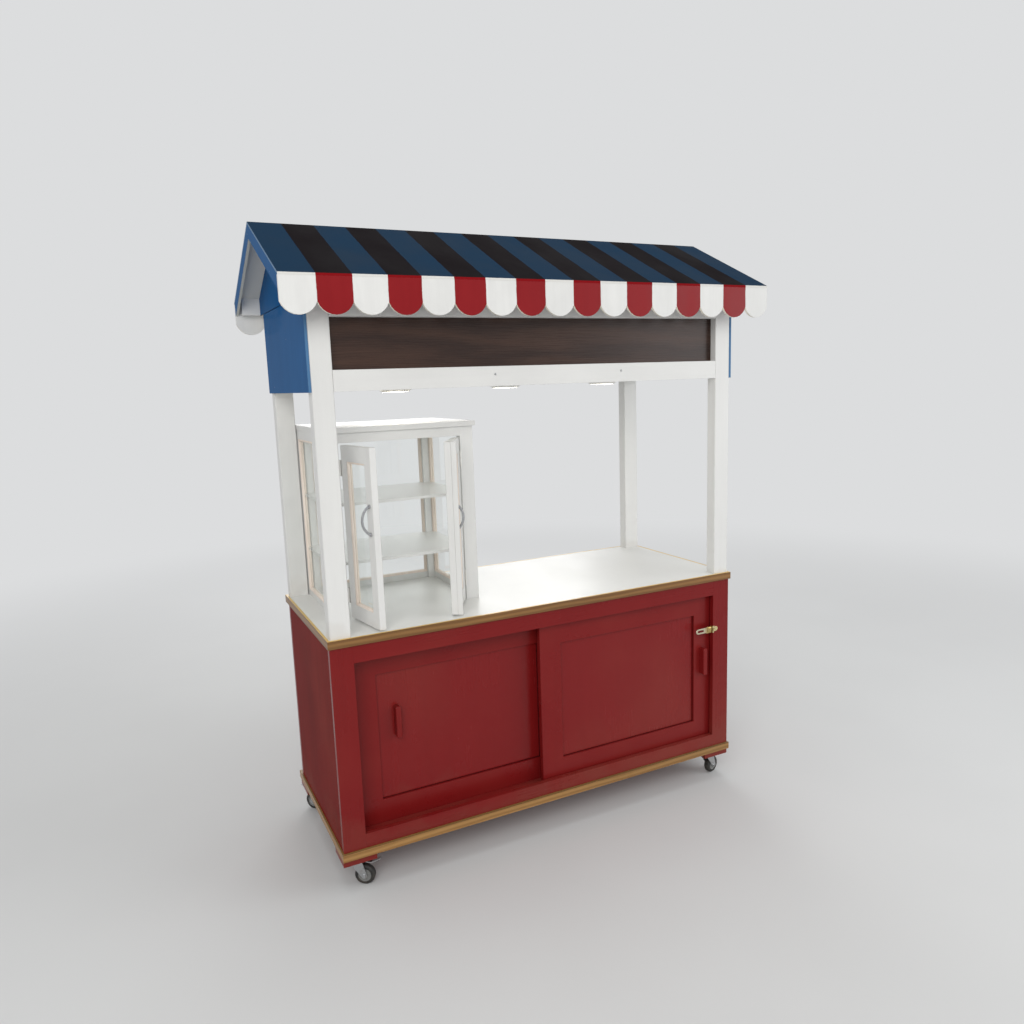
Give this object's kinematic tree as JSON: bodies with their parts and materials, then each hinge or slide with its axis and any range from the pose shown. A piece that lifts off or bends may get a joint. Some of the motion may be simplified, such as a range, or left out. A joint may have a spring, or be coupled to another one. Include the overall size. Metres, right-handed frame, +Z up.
{
  "type": "street kiosk",
  "caption": "Street kiosk on swivel casters: painted cabinet with sliding doors, glazed showcase, posts and a gabled roof with scalloped valances.",
  "frame": {"origin": "on the ground under the middle of the counter, at the bottom centre of the bounding box", "axes": "+Z up, +X along the counter to the seller's customers' right, +Y from the serving side to the back"},
  "size_m": [1.65, 0.786, 2.021],
  "materials": {
    "red_paint": "semi-gloss paint on board",
    "red_melamine": "satin painted panel",
    "white_paint": "satin paint on planed timber",
    "varnished_trim": "varnished edging",
    "brown_board": "glossy dark board",
    "blue_paint": "gloss paint on board",
    "roof_paint": "striped satin paint on sheet",
    "valance_paint": "satin paint in two colours",
    "ceiling_white": "matt white board",
    "lamp_plastic": "frosted cover",
    "glass": "clear",
    "chrome": "bright",
    "brass": "bright brass plate",
    "zinc_steel": "zinc plated pressing",
    "caster_rubber": "black tyre on a grey hub"
  },
  "bodies": {
    "kiosk": {"back_bargeboards": "blue_paint", "back_roof_sheet": "roof_paint", "bottom_board": "red_paint", "cabinet_back": "red_melamine", "cabinet_sides": "red_melamine", "caster_blocks": "red_paint", "caster_plates": "zinc_steel", "ceiling_board": "ceiling_white", "ceiling_lamps": "lamp_plastic", "door_tracks": "red_paint", "edge_strips": "varnished_trim", "face_frame_rails": "red_paint", "face_frame_stiles": "red_paint", "front_bargeboards": "blue_paint", "front_roof_sheet": "roof_paint", "hasp_plate": "brass", "header_rails": "white_paint", "posts": "white_paint", "roof_timbers": "white_paint", "showcase_glass": "glass", "showcase_hinges": "chrome", "showcase_rails": "white_paint", "showcase_shelves": "white_paint", "showcase_stiles": "white_paint", "showcase_top": "white_paint", "side_panels": "blue_paint", "sign_boards": "brown_board", "valances": "valance_paint", "worktop": "white_paint"},
    "left_sliding_door": {"left_sliding_door_frame": "red_paint", "left_sliding_door_panel": "red_melamine", "left_sliding_door_pull": "red_paint"},
    "left_case_door": {"left_case_door_frame": "white_paint", "left_case_door_glass": "glass", "left_case_door_handle": "chrome", "left_case_door_hinges": "chrome"},
    "right_sliding_door": {"right_sliding_door_frame": "red_paint", "right_sliding_door_panel": "red_melamine", "right_sliding_door_pull": "red_paint"},
    "right_case_door": {"right_case_door_frame": "white_paint", "right_case_door_glass": "glass", "right_case_door_handle": "chrome", "right_case_door_hinges": "chrome", "right_case_door_closing_strip": "white_paint"},
    "hasp": {"hasp_leaf": "brass"},
    "front_left_caster": {"front_left_caster_fork": "zinc_steel"},
    "front_left_wheel": {"front_left_caster_wheel": "caster_rubber"},
    "front_right_caster": {"front_right_caster_fork": "zinc_steel"},
    "front_right_wheel": {"front_right_caster_wheel": "caster_rubber"},
    "back_left_caster": {"back_left_caster_fork": "zinc_steel"},
    "back_left_wheel": {"back_left_caster_wheel": "caster_rubber"},
    "back_right_caster": {"back_right_caster_fork": "zinc_steel"},
    "back_right_wheel": {"back_right_caster_wheel": "caster_rubber"}
  },
  "joints": [
    {"name": "right_sliding_door_travel", "type": "slide", "parent": "kiosk", "child": "right_sliding_door", "axis": [1, 0, 0], "range_m": [-0.639, 0.02]},
    {"name": "left_sliding_door_travel", "type": "slide", "parent": "kiosk", "child": "left_sliding_door", "axis": [1, 0, 0], "range_m": [-0.023, 0.616]},
    {"name": "left_case_door_hinge", "type": "hinge", "parent": "kiosk", "child": "left_case_door", "pos_m": [-0.6275, -0.1105, 1.087], "axis": [0, 0, -1], "range_deg": [-80, 15]},
    {"name": "right_case_door_hinge", "type": "hinge", "parent": "kiosk", "child": "right_case_door", "pos_m": [-0.2265, -0.1105, 1.087], "axis": [0, 0, 1], "range_deg": [-60, 105]},
    {"name": "hasp_swing", "type": "hinge", "parent": "kiosk", "child": "hasp", "pos_m": [0.672, -0.3065, 0.602], "axis": [0, 0, 1], "range_deg": [0, 170]},
    {"name": "front_left_caster_swivel", "type": "hinge", "parent": "kiosk", "child": "front_left_caster", "pos_m": [-0.6955, -0.25, 0.083], "axis": [0, 0, 1], "continuous": true},
    {"name": "front_left_wheel_spin", "type": "hinge", "parent": "front_left_caster", "child": "front_left_wheel", "pos_m": [-0.6743, -0.26325, 0.0315], "axis": [0.5299, 0.848, 0], "continuous": true},
    {"name": "front_right_caster_swivel", "type": "hinge", "parent": "kiosk", "child": "front_right_caster", "pos_m": [0.6955, -0.25, 0.083], "axis": [0, 0, 1], "continuous": true},
    {"name": "front_right_wheel_spin", "type": "hinge", "parent": "front_right_caster", "child": "front_right_wheel", "pos_m": [0.71941, -0.24269, 0.0315], "axis": [-0.2924, 0.9563, 0], "continuous": true},
    {"name": "back_left_caster_swivel", "type": "hinge", "parent": "kiosk", "child": "back_left_caster", "pos_m": [-0.6955, 0.25, 0.083], "axis": [0, 0, 1], "continuous": true},
    {"name": "back_left_wheel_spin", "type": "hinge", "parent": "back_left_caster", "child": "back_left_wheel", "pos_m": [-0.71157, 0.26915, 0.0315], "axis": [-0.766, -0.6428, 0], "continuous": true},
    {"name": "back_right_caster_swivel", "type": "hinge", "parent": "kiosk", "child": "back_right_caster", "pos_m": [0.6955, 0.25, 0.083], "axis": [0, 0, 1], "continuous": true},
    {"name": "back_right_wheel_spin", "type": "hinge", "parent": "back_right_caster", "child": "back_right_wheel", "pos_m": [0.71465, 0.26607, 0.0315], "axis": [-0.6428, 0.766, 0], "continuous": true}
  ]
}
